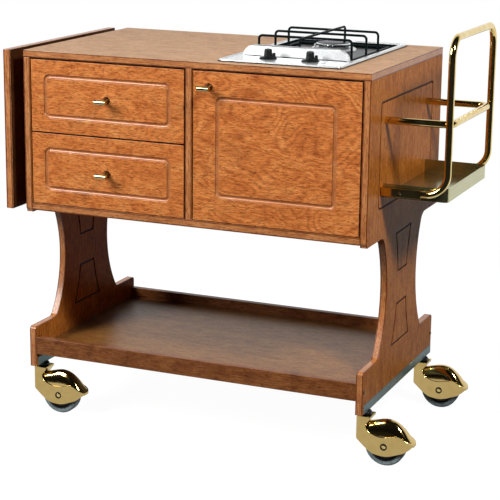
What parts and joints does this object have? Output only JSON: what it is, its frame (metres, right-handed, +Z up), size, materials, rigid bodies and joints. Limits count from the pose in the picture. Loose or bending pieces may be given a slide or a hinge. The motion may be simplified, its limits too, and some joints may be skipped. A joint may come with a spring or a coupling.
{
  "type": "flambe cart",
  "caption": "Wooden serving trolley on hooded casters with drawers, bottle cupboard, let-in gas hob, drop leaf, brass push rail and bottle tray.",
  "frame": {"origin": "on the floor, at the middle of the outline of the whole cart", "axes": "+X along the front towards the push rail, +Y from the front to the back, +Z up"},
  "size_m": [1.1246, 0.5958, 1.0265],
  "materials": {
    "top_veneer": "satin lacquered veneer, greyish tan",
    "side_veneer": "satin lacquered veneer, mid brown",
    "front_veneer": "satin lacquered figured veneer, orange brown",
    "shelf_veneer": "satin lacquered veneer, red brown",
    "birch_ply": "clear lacquered birch plywood",
    "polished_brass": "polished",
    "satin_brass": "satin",
    "zinc_steel": "grey-green zinc finish, satin",
    "stainless": "brushed",
    "black_enamel": "gloss enamel",
    "black_plastic": "fine satin",
    "grey_rubber": "smooth grey tread",
    "burner_alloy": "cast, matt",
    "spark_ceramic": "glazed white"
  },
  "bodies": {
    "carcass": {"worktop": "top_veneer", "end_panel_left": "side_veneer", "end_panel_right": "side_veneer", "divider": "side_veneer", "cabinet_floor": "side_veneer", "cabinet_back": "birch_ply", "lower_shelf": "shelf_veneer", "shelf_lips": "shelf_veneer", "base_rails": "zinc_steel", "shelf_bolts": "polished_brass", "drawer_runners": "zinc_steel", "door_catch": "black_plastic", "leaf_brackets": "zinc_steel", "leaf_pivot_pins": "zinc_steel", "handle_loop": "polished_brass", "middle_rail": "polished_brass", "handle_sleeves": "polished_brass", "sleeve_screws": "stainless", "bottle_tray": "satin_brass", "hob_plate": "stainless", "hob_ridge": "stainless", "hob_well": "black_enamel", "burner_box": "zinc_steel", "burner_bodies": "burner_alloy", "burner_caps": "black_enamel", "spark_plugs": "spark_ceramic", "pan_support": "black_enamel", "gas_inlet": "polished_brass", "caster_stems": "black_plastic"},
    "upper_drawer": {"upper_drawer_front": "front_veneer", "upper_drawer_box": "birch_ply", "upper_drawer_base": "birch_ply", "upper_drawer_knob": "polished_brass", "upper_drawer_slides": "zinc_steel"},
    "lower_drawer": {"lower_drawer_front": "front_veneer", "lower_drawer_box": "birch_ply", "lower_drawer_base": "birch_ply", "lower_drawer_knob": "polished_brass", "lower_drawer_slides": "zinc_steel"},
    "door": {"door": "front_veneer", "door_knob": "polished_brass", "door_pivots": "polished_brass"},
    "leaf": {"drop_leaf": "side_veneer", "leaf_arms": "zinc_steel"},
    "leaf_brace": {"leaf_braces": "zinc_steel"},
    "knob_left": {"hob_knob_left": "black_plastic"},
    "knob_right": {"hob_knob_right": "black_plastic"},
    "ignition": {"ignition_button": "black_plastic"},
    "caster_fl": {"caster_hood_fl": "polished_brass"},
    "caster_fr": {"caster_hood_fr": "polished_brass"},
    "caster_rl": {"caster_hood_rl": "polished_brass"},
    "caster_rr": {"caster_hood_rr": "polished_brass"},
    "wheel_fl": {"caster_hub_fl": "black_plastic", "caster_tyre_fl": "grey_rubber"},
    "wheel_fr": {"caster_hub_fr": "black_plastic", "caster_tyre_fr": "grey_rubber"},
    "wheel_rl": {"caster_hub_rl": "black_plastic", "caster_tyre_rl": "grey_rubber"},
    "wheel_rr": {"caster_hub_rr": "black_plastic", "caster_tyre_rr": "grey_rubber"}
  },
  "joints": [
    {"name": "upper_drawer_slide", "type": "slide", "parent": "carcass", "child": "upper_drawer", "axis": [0, -1, 0], "range_m": [0, 0.35]},
    {"name": "lower_drawer_slide", "type": "slide", "parent": "carcass", "child": "lower_drawer", "axis": [0, -1, 0], "range_m": [0, 0.35]},
    {"name": "door_swing", "type": "hinge", "parent": "carcass", "child": "door", "pos_m": [0.36075, -0.2511, 0.74], "axis": [0, 0, 1], "range_deg": [0, 95]},
    {"name": "leaf_lift", "type": "hinge", "parent": "carcass", "child": "leaf", "pos_m": [-0.53325, 0.0189, 0.912], "axis": [0, 1, 0], "range_deg": [0, 90]},
    {"name": "leaf_brace_swing", "type": "hinge", "parent": "carcass", "child": "leaf_brace", "pos_m": [-0.53325, 0.0189, 0.762], "axis": [0, 1, 0], "range_deg": [0, 135]},
    {"name": "knob_left_turn", "type": "hinge", "parent": "carcass", "child": "knob_left", "pos_m": [0.10325, -0.1611, 0.95], "axis": [0, 0, 1], "range_deg": [0, 210]},
    {"name": "knob_right_turn", "type": "hinge", "parent": "carcass", "child": "knob_right", "pos_m": [0.20925, -0.1611, 0.95], "axis": [0, 0, 1], "range_deg": [0, 210]},
    {"name": "ignition_press", "type": "slide", "parent": "carcass", "child": "ignition", "axis": [0, 0, -1], "range_m": [0, 0.004], "stiffness_N_per_m": 400},
    {"name": "caster_fl_swivel", "type": "hinge", "parent": "carcass", "child": "caster_fl", "pos_m": [-0.49525, -0.2091, 0.11], "axis": [0, 0, 1], "continuous": true},
    {"name": "caster_fr_swivel", "type": "hinge", "parent": "carcass", "child": "caster_fr", "pos_m": [0.38675, -0.2091, 0.11], "axis": [0, 0, 1], "continuous": true},
    {"name": "caster_rl_swivel", "type": "hinge", "parent": "carcass", "child": "caster_rl", "pos_m": [-0.49525, 0.2469, 0.11], "axis": [0, 0, 1], "continuous": true},
    {"name": "caster_rr_swivel", "type": "hinge", "parent": "carcass", "child": "caster_rr", "pos_m": [0.38675, 0.2469, 0.11], "axis": [0, 0, 1], "continuous": true},
    {"name": "wheel_fl_roll", "type": "hinge", "parent": "caster_fl", "child": "wheel_fl", "pos_m": [-0.43925, -0.2091, 0.05], "axis": [0, 1, 0], "continuous": true},
    {"name": "wheel_fr_roll", "type": "hinge", "parent": "caster_fr", "child": "wheel_fr", "pos_m": [0.44275, -0.2091, 0.05], "axis": [0, 1, 0], "continuous": true},
    {"name": "wheel_rl_roll", "type": "hinge", "parent": "caster_rl", "child": "wheel_rl", "pos_m": [-0.43925, 0.2469, 0.05], "axis": [0, 1, 0], "continuous": true},
    {"name": "wheel_rr_roll", "type": "hinge", "parent": "caster_rr", "child": "wheel_rr", "pos_m": [0.44275, 0.2469, 0.05], "axis": [0, 1, 0], "continuous": true}
  ],
  "couplings": [
    {"joint": "leaf_brace_swing", "follows": "leaf_lift", "ratio": 1.5}
  ]
}
